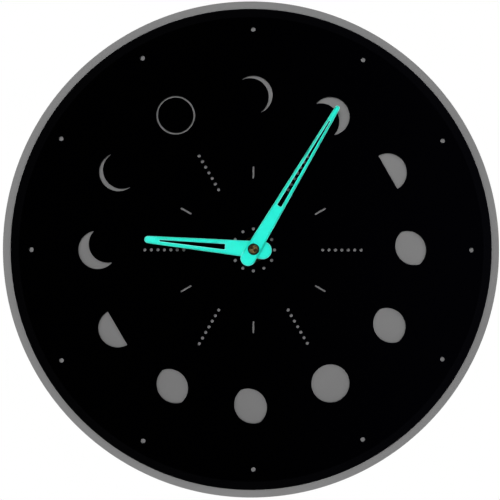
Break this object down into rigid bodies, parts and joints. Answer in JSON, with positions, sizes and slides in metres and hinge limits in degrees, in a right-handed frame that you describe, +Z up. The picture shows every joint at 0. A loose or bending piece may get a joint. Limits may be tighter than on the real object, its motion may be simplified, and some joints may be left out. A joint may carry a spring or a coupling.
{
  "type": "moon phase wall clock",
  "caption": "Round wall clock: a black dial cut with the phases of the moon and rows of dots over a grey backing disc, slotted turquoise hands and a battery quartz movement.",
  "frame": {"origin": "the point of the hanging loop that rests on the wall's nail, in the plane of the wall", "axes": "+Z up, +Y into the wall, +X to the right of a viewer who faces the dial"},
  "size_m": [0.3, 0.0335, 0.3],
  "materials": {
    "black_acrylic": "polished black sheet",
    "grey_acrylic": "satin grey sheet",
    "turquoise_acrylic": "bright turquoise sheet",
    "brass": "turned and polished",
    "rubber": "matt",
    "case_plastic": "fine moulded texture",
    "white_acetal": "moulded",
    "soft_iron": "annealed sheet",
    "magnet": "sintered",
    "enamelled_copper": "fine enamelled wire",
    "steel": "zinc plated",
    "board_green": "solder mask",
    "nickel_plate": "nickel plated",
    "black_resin": "poured resin",
    "cell_sleeve": "plain sleeve"
  },
  "bodies": {
    "clock": {"face_panel": "black_acrylic", "backing_disc": "grey_acrylic", "new_moon_disc": "black_acrylic", "dial_washer": "brass", "hex_nut": "brass", "rubber_washer": "rubber", "movement_case": "case_plastic", "rear_cover": "case_plastic", "threaded_bushing": "brass", "train_plate": "white_acetal", "stator_plate": "soft_iron", "coil_core": "soft_iron", "coil_bobbin": "white_acetal", "coil_winding": "enamelled_copper", "stator_screw_left": "steel", "stator_screw_right": "steel", "circuit_board": "board_green", "quartz_crystal": "nickel_plate", "controller_chip": "black_resin", "battery_contact_plus": "nickel_plate", "battery_contact_minus": "nickel_plate"},
    "minute_motion": {"minute_arbor": "brass", "minute_hand": "turquoise_acrylic", "hand_nut": "brass"},
    "hour_motion": {"hour_wheel": "white_acetal", "hour_hand": "turquoise_acrylic"},
    "setting_stem": {"minute_wheel": "white_acetal", "setting_knob": "white_acetal"},
    "rotor": {"rotor_magnet": "magnet", "rotor_pinion": "white_acetal"},
    "intermediate": {"intermediate_wheel": "white_acetal"},
    "seconds": {"seconds_wheel": "white_acetal"},
    "third": {"third_wheel": "white_acetal"},
    "centre": {"centre_wheel": "white_acetal"},
    "cell": {"battery": "cell_sleeve"}
  },
  "joints": [
    {"name": "minute_turn", "type": "hinge", "parent": "clock", "child": "minute_motion", "pos_m": [0, 0, -0.036], "axis": [0, 1, 0], "continuous": true},
    {"name": "hour_turn", "type": "hinge", "parent": "clock", "child": "hour_motion", "pos_m": [0, 0, -0.036], "axis": [0, 1, 0], "continuous": true},
    {"name": "setting_turn", "type": "hinge", "parent": "clock", "child": "setting_stem", "pos_m": [0, 0, -0.02585], "axis": [0, 1, 0], "continuous": true},
    {"name": "rotor_turn", "type": "hinge", "parent": "clock", "child": "rotor", "pos_m": [0.01419, 0, -0.02891], "axis": [0, 1, 0], "continuous": true},
    {"name": "intermediate_turn", "type": "hinge", "parent": "clock", "child": "intermediate", "pos_m": [0.00846, 0, -0.03292], "axis": [0, 1, 0], "continuous": true},
    {"name": "seconds_turn", "type": "hinge", "parent": "clock", "child": "seconds", "pos_m": [0, 0, -0.036], "axis": [0, 1, 0], "continuous": true},
    {"name": "third_turn", "type": "hinge", "parent": "clock", "child": "third", "pos_m": [-0.00895, 0, -0.03274], "axis": [0, 1, 0], "continuous": true},
    {"name": "centre_turn", "type": "hinge", "parent": "clock", "child": "centre", "pos_m": [0, 0, -0.036], "axis": [0, 1, 0], "continuous": true},
    {"name": "battery_lift", "type": "slide", "parent": "clock", "child": "cell", "axis": [0, 1, 0], "range_m": [0, 0.02]}
  ],
  "couplings": [
    {"joint": "hour_turn", "follows": "minute_turn", "ratio": 0.083333},
    {"joint": "setting_turn", "follows": "minute_turn", "ratio": -0.25},
    {"joint": "intermediate_turn", "follows": "rotor_turn", "ratio": -0.16667},
    {"joint": "seconds_turn", "follows": "rotor_turn", "ratio": 0.033333},
    {"joint": "third_turn", "follows": "rotor_turn", "ratio": -0.0044444},
    {"joint": "centre_turn", "follows": "rotor_turn", "ratio": 0.00055556}
  ]
}
